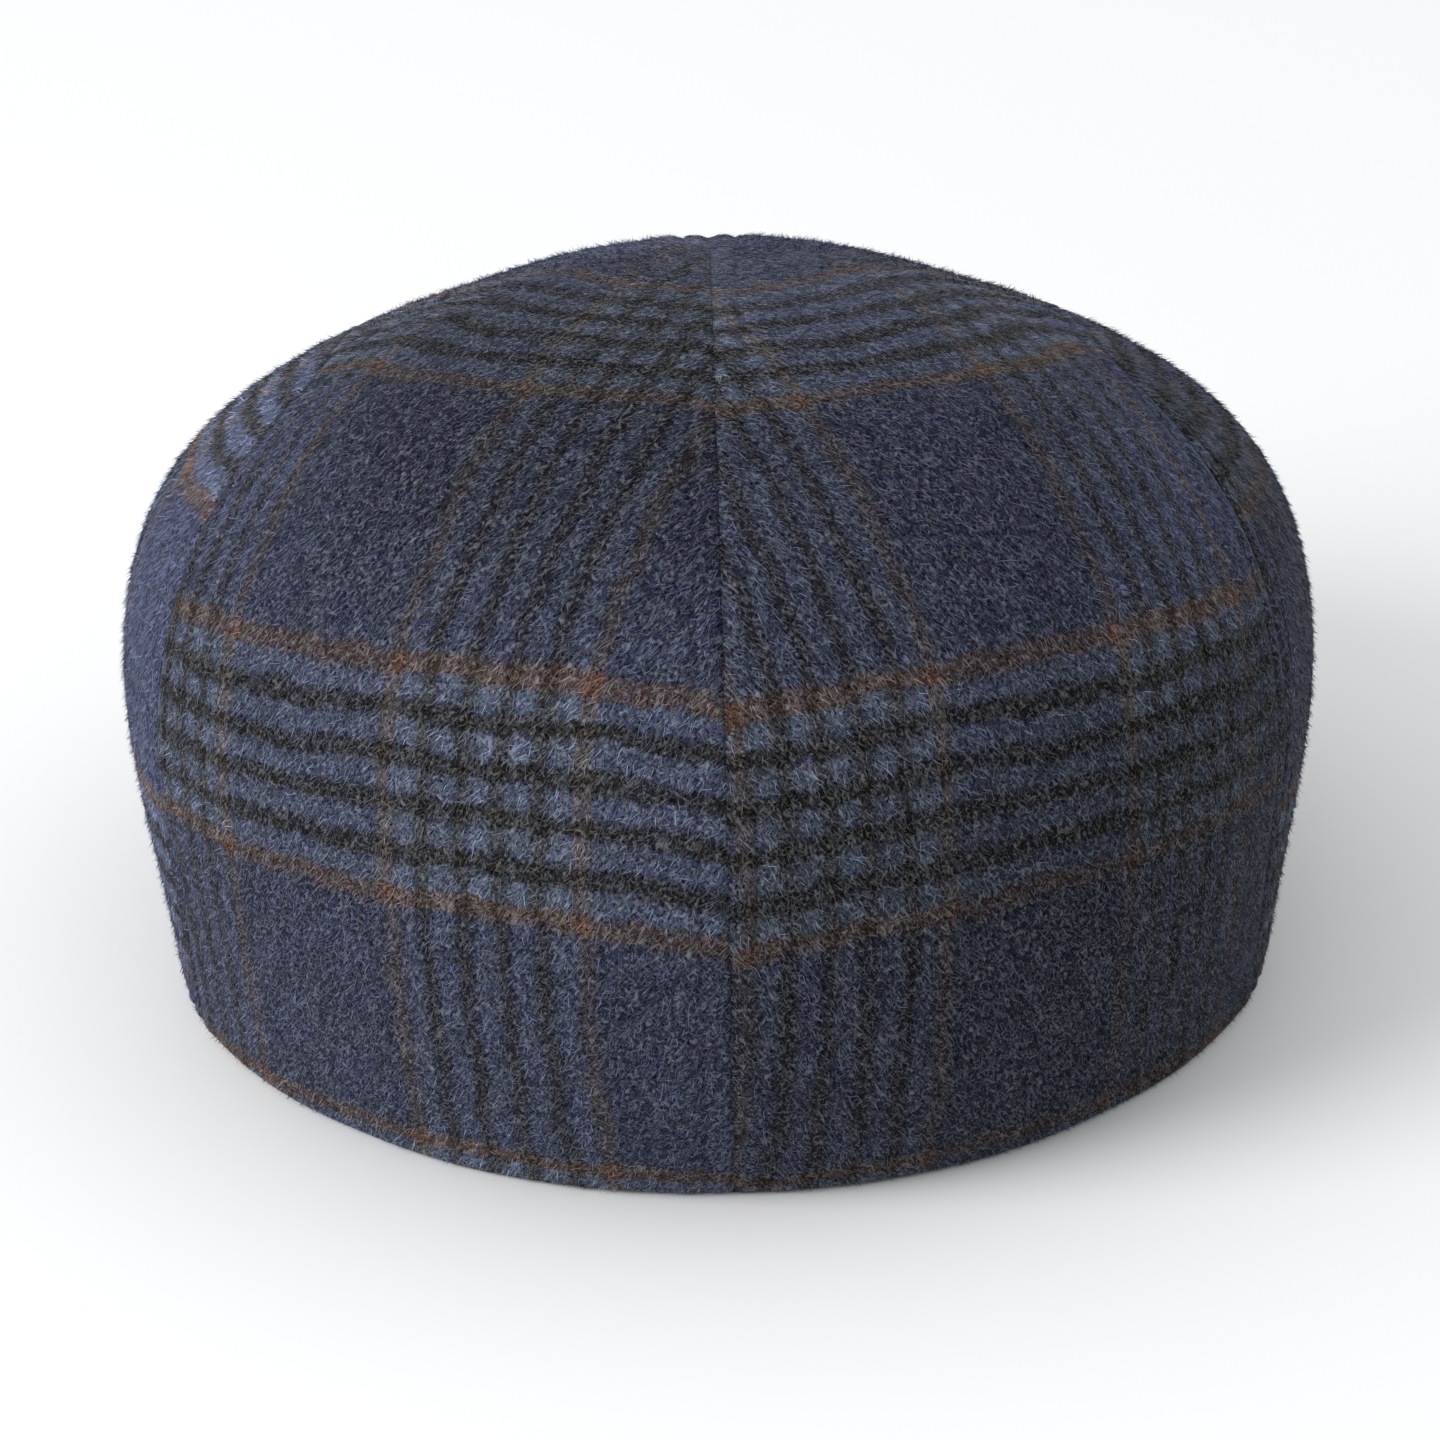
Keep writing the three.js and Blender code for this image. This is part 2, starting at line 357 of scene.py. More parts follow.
class FlatCapSewing(bpy.types.PropertyGroup):
    thickness: length("Cloth thickness", 2.2, "Thickness of the wool cloth")
    stitch_distance: length("Stitch distance", 4.0, "From a seam to the row of stitches beside it")
    crease_depth: length("Crease depth", 0.25, "How deep the seam itself lies")
    crease_width: length("Crease width", 0.8, "Half width of the seam's crease")
    groove_depth: length("Groove depth", 0.25, "How deep the stitches pull the cloth down")
    groove_width: length("Groove width", 0.8, "Half width of the groove that the stitches press")
    rib_height: length("Rib height", 0.2, "How far the cloth puffs up between seam and stitches")
    puff_height: length("Puff height", 0.2, "How far the cloth puffs up past the stitches")
    hem_radius: length("Hem radius", 1.1, "Radius of the turned edge along the hem")
    wave_length: length("Wave length", 26.0, "Size of the cloth's slow unevenness")
    wave_height: length("Wave height", 0.35, "Height of the cloth's slow unevenness")


class FlatCapCheck(bpy.types.PropertyGroup):
    warp_period: length("Warp repeat", 66.4, "Repeat of the check across the cloth")
    warp_band: length("Warp band", 31.5, "Width of the striped band in the warp")
    weft_period: length("Weft repeat", 81.4, "Repeat of the check up the cloth")
    weft_band: length("Weft band", 35.2, "Width of the striped band in the weft")
    weft_share: share("Weft share", 0.62, "How much of the colour comes from the weft yarns")
    ground: colour("Ground", (0.0272, 0.0318, 0.0600), "Dark blue ground yarn")
    light: colour("Light stripe", (0.072, 0.087, 0.131), "Light blue stripe yarn")
    dark: colour("Dark stripe", (0.0118, 0.0102, 0.0088), "Near black stripe yarn")
    line: colour("Fine line", (0.092, 0.046, 0.030), "Rust yarn of the fine lines")


class FlatCapNap(bpy.types.PropertyGroup):
    fibre_length: length("Fibre length", 1.4, "Length of the raised fibres")
    fibre_width: length("Fibre width", 0.17, "Thickness of the raised fibres at the root")
    lean: angle("Lean", -58.0, "Direction of the nap on the flat cloth, from the level line")
    spread: angle("Spread", 24.0, "How far fibres stray from the nap's direction")
    lift: angle("Lift", 22.0, "How steeply the fibres stand off the cloth")
    density: setting("Density", 1.5, "Raised fibres on a square millimetre", min=0)


class FlatCapStage(bpy.types.PropertyGroup):
    elevation: angle("Camera elevation", 23.74, "Height of the camera above the level")
    turn: angle("Camera turn", 0.42, "Turn of the camera from straight behind")
    roll: angle("Camera roll", -1.23, "Roll of the camera")
    distance: length("Camera distance", 1000.0, "From the camera to the cap")
    key_power: setting("Key light", 30.0, "Power of the large soft light", min=0, unit="POWER")


def in_millimetres(settings):
    """The lengths of a group of settings, in millimetres."""
    properties = settings.bl_rna.properties
    lengths = [p.identifier for p in properties if getattr(p, "unit", "") == "LENGTH"]
    return SimpleNamespace(**{name: getattr(settings, name) / MM for name in lengths})


# Cloth

def running_length(points):
    """Length along axis 0 of a stack of points, from its start to each point."""
    steps = np.linalg.norm(np.diff(points, axis=0), axis=-1)
    return np.concatenate([np.zeros_like(steps[:1]), np.cumsum(steps, axis=0)])


def level_arc(t, turn, start=0.0, steps=48):
    """Length along the crown's level at height t, from the angle start to the angle turn."""
    shares = np.linspace(0, 1, steps)[:, None]
    angles = mix(start, turn[None], shares)
    radius = (1 - t)[None]
    return running_length(crown_points(radius * np.cos(angles), radius * np.sin(angles)))[-1]


def rise_arc(t, degrees, steps=400):
    """Length up the crown's outer face from the hem to height t, at a fixed angle round it."""
    heights = np.linspace(0, 1, steps)
    turn = math.radians(degrees)
    points = crown_points((1 - heights) * math.cos(turn), (1 - heights) * math.sin(turn))
    return np.interp(t, heights, running_length(points))


def soft_ramp(m, start, slope, softness):
    """Nothing before start and a steady slope after it, with a soft turn between them."""
    past = m - start
    return slope * (np.hypot(past, softness) + past) / 2


def along_line(points, line):
    """Distance of each point from a closely sampled line, and how far along the line it lies."""
    tree = KDTree(len(line))
    for i, place in enumerate(line):
        tree.insert(place, i)
    tree.balance()
    found = [tree.find(point) for point in points]
    run = running_length(line)
    return np.array([f[2] for f in found]), run[[f[1] for f in found]]


def hump(d, centre, width):
    return np.exp(-(((d - centre) / width) ** 2))


def seam_relief(d, sewing):
    """Height of the cloth at distance d from a seam that has a row of stitches beside it."""
    stitches = sewing.stitch_distance
    return (
        sewing.rib_height * hump(d, 0.55 * stitches, 0.35 * stitches)
        + sewing.puff_height * hump(d, 1.75 * stitches, 0.55 * stitches)
        - sewing.crease_depth * hump(d, 0, sewing.crease_width)
        - sewing.groove_depth * hump(d, stitches, sewing.groove_width)
    )


def hem_relief(d, radius):
    """Half of a rounded edge: how far the face draws in at distance d above the hem."""
    short = np.clip(radius - d, 0, radius)
    return np.sqrt(radius**2 - short**2) - radius


def unevenness(points, sewing):
    """Slow, shallow waves of soft cloth."""
    x, y, z = points.T / sewing.wave_length * 2
    slow = np.sin(0.85 * x + 0.3 * y + 1.1) * np.sin(0.65 * z - 0.4 * y + 0.4)
    quick = np.sin(1.95 * x - 1.15 * z + 2.0) * np.sin(1.55 * y + 1.35 * z)
    return sewing.wave_height * (slow + 0.4 * quick)


def crown_faces(p, q, sewing):
    """Outer and inner face of the crown's cloth at places on the disc, and the nearest seam.

    The seam is given as the length along it and the distance from it. The hem itself keeps the
    height of the bare outline at the back, and less of it towards the front.
    """
    bare = crown_points(p, q)
    out = crown_normals(p, q)
    shares = np.linspace(0, 1, SEAM_SAMPLES)
    arch = along_line(bare, crown_points(*arch_place(*arch_station(shares))))
    middle = along_line(bare, crown_points(1 - 2 * shares, 0 * shares))
    hem = along_line(bare, crown_points(np.cos(np.pi * shares), np.sin(np.pi * shares)))
    edge = hem_relief(hem[0], sewing.hem_radius)
    swell = unevenness(bare, sewing)
    seams = seam_relief(middle[0], sewing) + seam_relief(arch[0], sewing)
    outer = bare + out * (edge + swell + seams)[:, None]
    inner = bare + out * (swell - edge - sewing.thickness)[:, None]
    level = (1 - np.clip(-p, 0, 1) ** 2) * (np.hypot(p, q) > 1 - 1e-6)
    for face in (outer, inner):
        face[:, 2] = mix(face[:, 2], bare[:, 2], level)
        face[:, 2] = np.maximum(face[:, 2], 0)
    nearest = np.where(middle[0] < arch[0], middle, arch)
    return outer, inner, np.stack([nearest[1], nearest[0]], -1)


def centre_cloth(p, q, lay):
    """Where places on the disc lie on the flat cloth, on a centre panel."""
    t = 1 - np.hypot(p, q)
    turn = np.abs(np.arctan2(q, p))
    rise = rise_arc(t, CENTRE_RISE_ANGLE)
    top = rise_arc(np.array([1.0]), CENTRE_RISE_ANGLE)[0]
    over = np.clip(turn - math.radians(OVER_ANGLE), 0, None) * 180 / (180 - OVER_ANGLE)
    side = np.minimum(level_arc(t, turn), level_arc(t, turn, start=math.pi))
    foot = soft_ramp(FOOT_RISE - rise, 0, FOOT_SLOPE, LAY_SOFTNESS)
    shift = foot + soft_ramp(rise, LAY_TURN, lay["slope"], LAY_SOFTNESS)
    u = side * (1 + lay["gather"]) + lay["start"] + shift
    v = top - (top - rise) * np.cos(over) - CENTRE_RISE_START
    v += lay["dip"] * (np.exp(-side / lay["reach"]) - lay["level"])
    v -= np.interp(rise, DRAWN_RISE, (0, DRAWN_UP))
    v += HEM_LIFT * side * np.exp(-rise / HEM_LIFT_RISE)
    return np.stack([u, v], -1)


def side_cloth(p, q, lay):
    """Where places on the disc lie on the flat cloth, on a side panel."""
    t = 1 - np.hypot(p, q)
    turn = np.abs(np.arctan2(q, p))
    u = level_arc(t, turn, start=math.radians(SIDE_BACK_ANGLE))
    u *= np.sign(turn - math.radians(SIDE_BACK_ANGLE))
    return np.stack([u + lay["start"], rise_arc(t, SIDE_RISE_ANGLE) - lay["rise"]], -1)


def centre_painted_light(t, turn, tone):
    """Painted light and shade on a centre panel's back, at heights t and turns from the back seam."""
    side = level_arc(t, turn)
    rise = rise_arc(t, CENTRE_RISE_ANGLE)
    wall = np.interp(side, WALL_REACH, tone["wall"])
    top = np.interp(side, EDGE_REACH, tone["top"])
    later = np.interp(side, EDGE_REACH, (0, tone["later"]))
    height = np.interp(rise - later, tone["turn"], (0, 1))
    # Painted light on the middle seam's shoulder and just above the hem
    shoulder_light = hump(rise, SHOULDER_RISE, SHOULDER_REACH) * hump(side, 0, SHOULDER_SIDE)
    gain = 1 + SHOULDER_GAIN * shoulder_light + HEM_GAIN * hump(rise, 0, HEM_REACH)
    return mix(wall, top, height * height * (3 - 2 * height)) * gain


def painted_light_tone(p, q, side, kind):
    """Painted light and shade on the cloth at places on the disc, as a map of one number."""
    tone = PANEL_PAINTED_LIGHT[side]
    t = 1 - np.hypot(p, q)
    turn = np.abs(np.arctan2(q, p))
    behind = tone["ear"] if kind == "side" else centre_painted_light(t, turn, tone)
    value = mix(behind, FRONT_PAINTED_LIGHT, np.interp(np.degrees(turn), FRONT_TURN, (0, 1)))
    # Painted highlight over the middle of the top
    value *= 1 + CREST_GAIN * hump(1 - t, 0, CREST_REACH)
    return np.stack([value, 0 * value], -1) * MAP_UNIT


# Meshes

def to_frame(points):
    """Millimetres round the crown's own centre to metres in the frame."""
    return (points + np.array([0, SHIFT_Y, 0])) * MM


def grid_shares(bm, rows, columns):
    """Adds a grid and gives its vertices' places, along its rows and across them, from 0 to 1."""
    bmesh.ops.create_grid(bm, x_segments=columns, y_segments=rows, size=1)
    flat = (np.array([v.co[:2] for v in bm.verts]) + 1) / 2
    return flat[:, 1], flat[:, 0]


def write_maps(mesh, maps):
    """Writes maps that hold a place for each corner of the mesh's faces."""
    for label, places in maps.items():
        layer = mesh.uv_layers.new(name=label)
        layer.uv.foreach_set("vector", places.astype(np.float32).ravel())


def finish_mesh(bm, name, spot, maps):
    """Turns the faces outwards, smooths them and writes each map, in millimetres, by vertex."""
    bmesh.ops.recalc_face_normals(bm, faces=bm.faces)
    if bm.calc_volume(signed=True) < 0:
        bmesh.ops.reverse_faces(bm, faces=bm.faces)
    spots = np.array([v[spot] for v in bm.verts])
    mesh = bpy.data.meshes.new(name)
    bm.to_mesh(mesh)
    bm.free()
    corner = np.empty(len(mesh.loops), int)
    mesh.loops.foreach_get("vertex_index", corner)
    write_maps(mesh, {label: places[spots[corner]] / MAP_UNIT for label, places in maps.items()})
    mesh.shade_smooth()
    return mesh


def number_vertices(bm):
    spot = bm.verts.layers.int.new("spot")
    for i, vert in enumerate(bm.verts):
        vert[spot] = i
    return spot


def shell_mesh(name, rows, columns, place):
    """A closed shell: a grid and its copy on the other face, joined round their edges.

    place() gets the grid's places and gives the outer face, the inner face and the maps.
    """
    bm = bmesh.new()
    along, across = grid_shares(bm, rows, columns)
    outer, inner, maps = place(along, across)
    spot = number_vertices(bm)
    copied = bmesh.ops.extrude_face_region(bm, geom=bm.faces[:], use_keep_orig=True)["geom"]
    lining = {v for v in copied if isinstance(v, bmesh.types.BMVert)}
    faces = {False: to_frame(outer), True: to_frame(inner)}
    for vert in bm.verts:
        vert.co = faces[vert in lining][vert[spot]]
    return finish_mesh(bm, name, spot, maps)


def tube_mesh(name, rows, columns, place):
    """A closed tube with its ends filled: a grid whose last row lies on its first."""
    bm = bmesh.new()
    around, along = grid_shares(bm, rows, columns)
    points, maps = place(np.where(around > 1 - 0.5 / rows, 0, around), along)
    spot = number_vertices(bm)
    for vert, point in zip(bm.verts, to_frame(points)):
        vert.co = point
    bmesh.ops.remove_doubles(bm, verts=bm.verts, dist=0.01 * MM)
    bmesh.ops.holes_fill(bm, edges=[e for e in bm.edges if e.is_boundary], sides=0)
    return finish_mesh(bm, name, spot, maps)


def add_piece(mesh, material, *nodes):
    """Adds a finished piece to the scene, on the cap's one body, for the CAD nodes it replaces."""
    piece = add_thing(mesh.name, mesh)
    mesh.materials.append(material)
    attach(piece, "root")
    if nodes:
        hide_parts(*nodes)


def crown_panel(kind, side, sewing):
    """Mesh of one panel of the crown, of the centre or the side kind."""

    def place(along, across):
        along = crowd(along, CROWDING[kind][0])
        across = crowd(across, CROWDING[kind][1])
        if kind == "centre":
            p, q = centre_place(along, across)
            lay = centre_cloth(p, q, CENTRE_LAY[side])
        else:
            p, q = side_place(2 * across - 1, along)
            lay = side_cloth(p, q, SIDE_LAY[side])
        outer, inner, seam = crown_faces(p, q, sewing)
        tone = painted_light_tone(p, q, side, kind)
        mirror = np.array([-1 if side == "right" else 1, 1, 1])
        return outer * mirror, inner * mirror, {CLOTH_MAP: lay, SEAM_MAP: seam, PAINTED_LIGHT_MAP: tone}

    return shell_mesh(f"{kind}_panel_{side}", *GRIDS[kind], place)


def hem_line(u, drop):
    """Points of the front hem, u from -1 at the peak's right corner to 1 at its left one."""
    turn = np.pi - u * (np.pi - math.radians(PEAK_CORNER_ANGLE))
    return crown_points(np.cos(turn), np.sin(turn)) - np.array([0, 0, drop])


def peak_section(out, under, u):
    """Points of the peak: out runs from the tucked edge at 0 to the middle of its nose at 1."""
    thickness = PEAK_THICKNESS * (1 - PEAK_TAPER * np.abs(u) ** PEAK_TAPER_POWER)
    half = thickness / 2
    corner = hem_line(np.array([1.0]), 0)[0]
    hem = hem_line(u, SEAM_GAP)
    tuck = hem + unit(hem * [-1, -1, 0]) * PEAK_TUCK
    forward = np.maximum(np.cos(u * np.pi / 2), 0) ** PEAK_FULLNESS
    far_x = (corner[0] + PEAK_CORNER_OVERHANG) * np.sin(u * np.pi / 2)
    far_y = mix(corner[1], PEAK_FRONT_Y, forward)
    far = np.stack([far_x, far_y, mix(PEAK_CORNER_Z, PEAK_FRONT_Z, forward)], -1)
    outward = unit((far - [0, corner[1] - PEAK_THICKNESS / 2, 0]) * [1, 1, 0])
    tucked = np.clip(out / PEAK_TUCK_SHARE, 0, 1)[:, None]
    v = np.clip((out - PEAK_TUCK_SHARE) / (PEAK_NOSE_SHARE - PEAK_TUCK_SHARE), 0, 1)
    turn = np.clip((out - PEAK_NOSE_SHARE) / (1 - PEAK_NOSE_SHARE), 0, 1) * np.pi / 2
    points = np.where(v[:, None] > 0, mix(hem, far, v[:, None]), mix(tuck, hem, tucked))
    points += outward * (half * np.sin(turn))[:, None]
    drop = half * (1 - np.cos(turn))
    arch = PEAK_ARCH * 4 * v * (1 - v) * (1 - u * u)
    points[:, 2] += arch + np.where(under, drop - thickness, -drop)
    return points


def peak_mesh():
    rows, columns = GRIDS["peak"]

    def place(around, along):
        k = np.minimum(around * rows / (rows - 1), 1) * 2 - 1
        points = peak_section(1 - np.abs(k), k > 0, crowd(along, CROWDING["peak"]) * 2 - 1)
        lay = np.stack([points[:, 0], np.sign(k) * (points[:, 1] - PEAK_FRONT_Y)], -1)
        across = np.linspace(-1, 1, NOSE_SAMPLES)
        nose = peak_section(np.ones_like(across), np.zeros_like(across, bool), across)
        away, run = along_line(points, nose)
        # The peak takes the front's painted light throughout
        tone = np.full((len(points), 2), FRONT_PAINTED_LIGHT * MAP_UNIT)
        return points, {CLOTH_MAP: lay, SEAM_MAP: np.stack([run, away], -1), PAINTED_LIGHT_MAP: tone}

    return tube_mesh("peak_cover", rows, columns, place)


# Nap

def read_map(mesh, label, count):
    """A map at the corners of the first quads of a mesh."""
    values = np.empty(len(mesh.loops) * 2, np.float32)
    mesh.uv_layers[label].uv.foreach_get("vector", values)
    return values[: count * 8].reshape(count, 4, 2) * MAP_UNIT


def read_corners(mesh, count):
    """Places of the corners of the first quads of a mesh, in millimetres."""
    spots = np.empty(len(mesh.loops), np.intc)
    mesh.loops.foreach_get("vertex_index", spots)
    places = np.empty(len(mesh.vertices) * 3, np.float32)
    mesh.vertices.foreach_get("co", places)
    return places.reshape(-1, 3)[spots[: count * 4]].reshape(count, 4, 3) / MM


def flat_cross(a, b):
    return a[:, 0] * b[:, 1] - a[:, 1] * b[:, 0]


def sow_fibres(mesh, count, nap, sizes, seed):
    """Roots of the raised fibres over the first quads of a mesh, spread evenly by area.

    Gives each fibre's root, its length and direction, the cloth's normal there, its place on the
    cloth, the painted light and shade there and a random number.
    """
    draw = np.random.default_rng(seed)
    corners = read_corners(mesh, count)
    cloth = read_map(mesh, CLOTH_MAP, count)
    side_a = corners[:, 1] - corners[:, 0]
    side_b = corners[:, 3] - corners[:, 0]
    area = np.linalg.norm(np.cross(side_a, side_b), axis=-1)
    number = int(area.sum() * nap.density)
    quad = draw.choice(count, number, p=area / area.sum())
    a, b = draw.random((2, number, 1))
    root = corners[quad, 0] + a * side_a[quad] + b * side_b[quad]
    cloth_a = (cloth[:, 1] - cloth[:, 0])[quad]
    cloth_b = (cloth[:, 3] - cloth[:, 0])[quad]
    place = cloth[quad, 0] + a * cloth_a + b * cloth_b
    course = draw.normal(nap.lean, nap.spread, number)
    lie = np.stack([np.cos(course), np.sin(course)], -1)
    whole = flat_cross(cloth_a, cloth_b)
    step_a = (flat_cross(lie, cloth_b) / whole)[:, None]
    step_b = (flat_cross(cloth_a, lie) / whole)[:, None]
    level = unit(step_a * side_a[quad] + step_b * side_b[quad])
    normal = unit(np.cross(side_a, side_b))[quad]
    away = read_map(mesh, SEAM_MAP, count)[quad, 0, 1, None]
    least, more = FIBRE_LIFTS
    lift = nap.lift * (least + more * draw.random((number, 1)) ** 2)
    lift *= np.clip(away / FIBRE_SEAM_REACH, FIBRE_FLATTEST, 1)
    reach = sizes.fibre_length * draw.uniform(*FIBRE_LENGTHS, (number, 1))
    along = reach * (level * np.cos(lift) + normal * np.sin(lift))
    # Painted light and shade of the cloth at the root
    tone = read_map(mesh, PAINTED_LIGHT_MAP, count)[quad, 0]
    above = (root + along)[:, 2] > FIBRE_CLEARANCE
    kept = [values[above] for values in (root, along, normal, place, tone)]
    return *kept, draw.random(above.sum())


def fibre_template():
    """One fibre, a slim cone of three sides: its vertices and its faces."""
    bm = bmesh.new()
    bmesh.ops.create_cone(bm, cap_ends=True, segments=3, radius1=1, radius2=0, depth=1)
    bmesh.ops.translate(bm, verts=bm.verts, vec=(0, 0, 0.5))
    bmesh.ops.remove_doubles(bm, verts=bm.verts, dist=1e-4)
    bmesh.ops.triangulate(bm, faces=bm.faces)
    bm.verts.index_update()
    points = np.array([v.co for v in bm.verts])
    faces = np.array([[v.index for v in face.verts] for face in bm.faces])
    bm.free()
    return points, faces


def bake_cells(number, tip):
    """A cell of the bake's map for each fibre, and in it a place for each corner of its faces."""
    cells = math.ceil(math.sqrt(number))
    fibre = np.arange(number)
    cell = np.stack([fibre % cells, fibre // cells], -1)[:, None]
    corner = np.tile([0, 1, 2], len(tip) // 3)
    inside = np.stack([0.1 + 0.4 * corner, 0.1 + 0.1 * (corner == 1) + 0.7 * tip], -1)
    return (cell + inside) / cells


def nap_mesh(name, mesh, count, nap, seed):
    """The raised fibres of one panel, joined into one mesh."""
    sizes = in_millimetres(nap)
    root, along, normal, place, tone, chance = sow_fibres(mesh, count, nap, sizes, seed)
    number = len(root)
    across = unit(np.cross(along, normal))
    upward = unit(np.cross(along, across))
    points, faces = fibre_template()
    thick = sizes.fibre_width / 2
    start = root - along * FIBRE_SUNK
    spots = start[:, None] + along[:, None] * points[:, 2, None] * (1 + FIBRE_SUNK)
    spots += thick * (across[:, None] * points[:, 0, None] + upward[:, None] * points[:, 1, None])
    order = (faces[None] + np.arange(number)[:, None, None] * len(points)).reshape(-1, 3)
    made = bpy.data.meshes.new(name)
    made.from_pydata((spots * MM).reshape(-1, 3), [], order)
    tip = points[faces.ravel(), 2]
    each = faces.size
    maps = {
        BAKE_MAP: bake_cells(number, tip),
        CLOTH_MAP: np.repeat(place / MAP_UNIT, each, axis=0),
        # The painted light and shade at each fibre's root
        PAINTED_LIGHT_MAP: np.repeat(tone / MAP_UNIT, each, axis=0),
        STRAND_MAP: np.stack([np.tile(tip, number), np.repeat(chance, each)], -1),
    }
    write_maps(made, maps)
    return made


# Node trees

def add_node(tree, kind, inputs=None, **settings):
    """A node with its settings; each input is a value or another node's output."""
    node = tree.nodes.new(kind)
    for name, value in settings.items():
        setattr(node, name, value)
    for name, value in (inputs or {}).items():
        connect(tree, value, node.inputs[name])
    return node


def connect(tree, value, socket):
    if isinstance(value, bpy.types.NodeSocket):
        tree.links.new(value, socket)
    else:
        socket.default_value = value


def calc(tree, operation, *values, kind="ShaderNodeMath"):
    node = add_node(tree, kind, operation=operation)
    for socket, value in zip(node.inputs, values):
        connect(tree, value, socket)
    return node.outputs[0]


def times(tree, product, *values):
    """The first value, multiplied by each of the others."""
    for value in values:
        product = calc(tree, "MULTIPLY", product, value)
    return product


def calc_vector(tree, operation, *values):
    return calc(tree, operation, *values, kind="ShaderNodeVectorMath")


def split(tree, vector):
    return add_node(tree, "ShaderNodeSeparateXYZ", {"Vector": vector}).outputs


def noise(tree, place, scale, detail, **more):
    """Outputs of a noise texture, whose other inputs are given by name."""
    inputs = {"Vector": place, "Scale": scale, "Detail": detail, **more}
    return add_node(tree, "ShaderNodeTexNoise", inputs).outputs


def rescale(tree, value, low, high, least=0.0, most=1.0):
    """A value taken from the range between low and high to that between least and most."""
    inputs = {"Value": value, "From Min": low, "From Max": high, "To Min": least, "To Max": most}
    return add_node(tree, "ShaderNodeMapRange", inputs, clamp=True).outputs["Result"]


def blend_colours(tree, factor, a, b, mode="MIX"):
    node = add_node(tree, "ShaderNodeMix", data_type="RGBA", blend_type=mode)
    for name, value in (("Factor_Float", factor), ("A_Color", a), ("B_Color", b)):
        connect(tree, value, next(s for s in node.inputs if s.identifier == name))
    return next(s for s in node.outputs if s.identifier == "Result_Color")


def colour_ramp(tree, factor, stops):
    """A ramp through (position, colour) pairs."""
    node = add_node(tree, "ShaderNodeValToRGB", {"Fac": factor})
    elements = node.color_ramp.elements
    for element, (position, _) in zip(elements, (stops[0], stops[-1])):
        element.position = position
    for position, _ in stops[1:-1]:
        elements.new(position)
    for element, (_, value) in zip(elements, stops):
        element.color = (*value, 1)
    return node.outputs["Color"]


def new_group(name, inputs, outputs):
    """An empty node group with named inputs (name, type, default) and outputs (name, type)."""
    tree = bpy.data.node_groups.new(name, "ShaderNodeTree")
    for label, kind, default in inputs:
        socket = tree.interface.new_socket(label, in_out="INPUT", socket_type=f"NodeSocket{kind}")
        if default is not None:
            socket.default_value = default
    for label, kind in outputs:
        tree.interface.new_socket(label, in_out="OUTPUT", socket_type=f"NodeSocket{kind}")
    return tree, tree.nodes.new("NodeGroupInput").outputs, tree.nodes.new("NodeGroupOutput").inputs


def place_group(tree, group, inputs):
    return add_node(tree, "ShaderNodeGroup", inputs, node_tree=group).outputs


def yarn_stops(yarn):
    """Ramp stops that are white where this yarn lies and black elsewhere."""
    stops = []
    start = 0.0
    for name, edge in (*BAND_STRIPES, ("Ground", BAND_REACH)):
        value = (float(name == yarn),) * 3
        stops.append((start / BAND_REACH, value))
        if edge < BAND_REACH:
            stops.append(((edge - EDGE_SOFTNESS) / BAND_REACH, value))
        start = edge + EDGE_SOFTNESS
    stops.append((1.0, stops[-1][1]))
    return stops


def stripe_group():
    """Colour of one set of yarns by its place across the cloth, in millimetres."""
    tree, given, result = new_group(
        "Yarn stripes",
        [("Place", "Float", 0.0), ("Period", "Float", 60.0), ("Band", "Float", 30.0)]
        + [(yarn, "Color", None) for yarn in YARNS],
        [("Colour", "Color")],
    )
    half_band = calc(tree, "DIVIDE", given["Band"], 2.0)
    from_middle = calc(tree, "SUBTRACT", given["Place"], half_band)
    half_period = calc(tree, "DIVIDE", given["Period"], 2.0)
    wrapped = calc(tree, "WRAP", from_middle, half_period, times(tree, half_period, -1.0))
    ratio = calc(tree, "DIVIDE", calc(tree, "ABSOLUTE", wrapped), half_band)
    place = calc(tree, "DIVIDE", ratio, BAND_REACH)
    mixed = given["Ground"]
    for yarn in YARNS[1:]:
        mixed = blend_colours(tree, colour_ramp(tree, place, yarn_stops(yarn)), mixed, given[yarn])
    connect(tree, mixed, result["Colour"])
    return tree


def stray(tree, place, scale, reach):
    """A place moved about by a noise, by up to half of the reach each way."""
    centred = calc_vector(tree, "SUBTRACT", noise(tree, place, scale, 3.0)["Color"], (0.5, 0.5, 0.5))
    return calc_vector(tree, "ADD", place, calc_vector(tree, "MULTIPLY", centred, reach))


def check_group(check, stripes):
    """The woven check's colour at a place on the flat cloth, in millimetres."""
    tree, given, result = new_group(
        "Wool check",
        [("Cloth", "Vector", None), ("Blur", "Float", 0.5), ("Wander", "Float", 1.0)]
        + [("Weft share", "Float", 0.6)]
        + [(yarn, "Color", None) for yarn in YARNS],
        [("Colour", "Color")],
    )
    frayed = stray(tree, given["Cloth"], BLUR_SCALE, given["Blur"])
    place = split(tree, stray(tree, frayed, WANDER_SCALE, given["Wander"]))
    yarns = {yarn: given[yarn] for yarn in YARNS}
    weft_share = given["Weft share"]
    shares = {"warp": calc(tree, "SUBTRACT", 1.0, weft_share), "weft": weft_share}
    sets = {}
    for name, axis in (("warp", "X"), ("weft", "Y")):
        sizes = {
            "Place": place[axis],
            "Period": getattr(check, f"{name}_period"),
            "Band": getattr(check, f"{name}_band"),
        }
        stripe = place_group(tree, stripes, {**sizes, **yarns})["Colour"]
        node = add_node(tree, "ShaderNodeGamma", {"Color": stripe, "Gamma": shares[name]})
        sets[name] = node.outputs["Color"]
    crossed = blend_colours(tree, 1.0, sets["warp"], sets["weft"], "MULTIPLY")
    connect(tree, crossed, result["Colour"])
    return tree


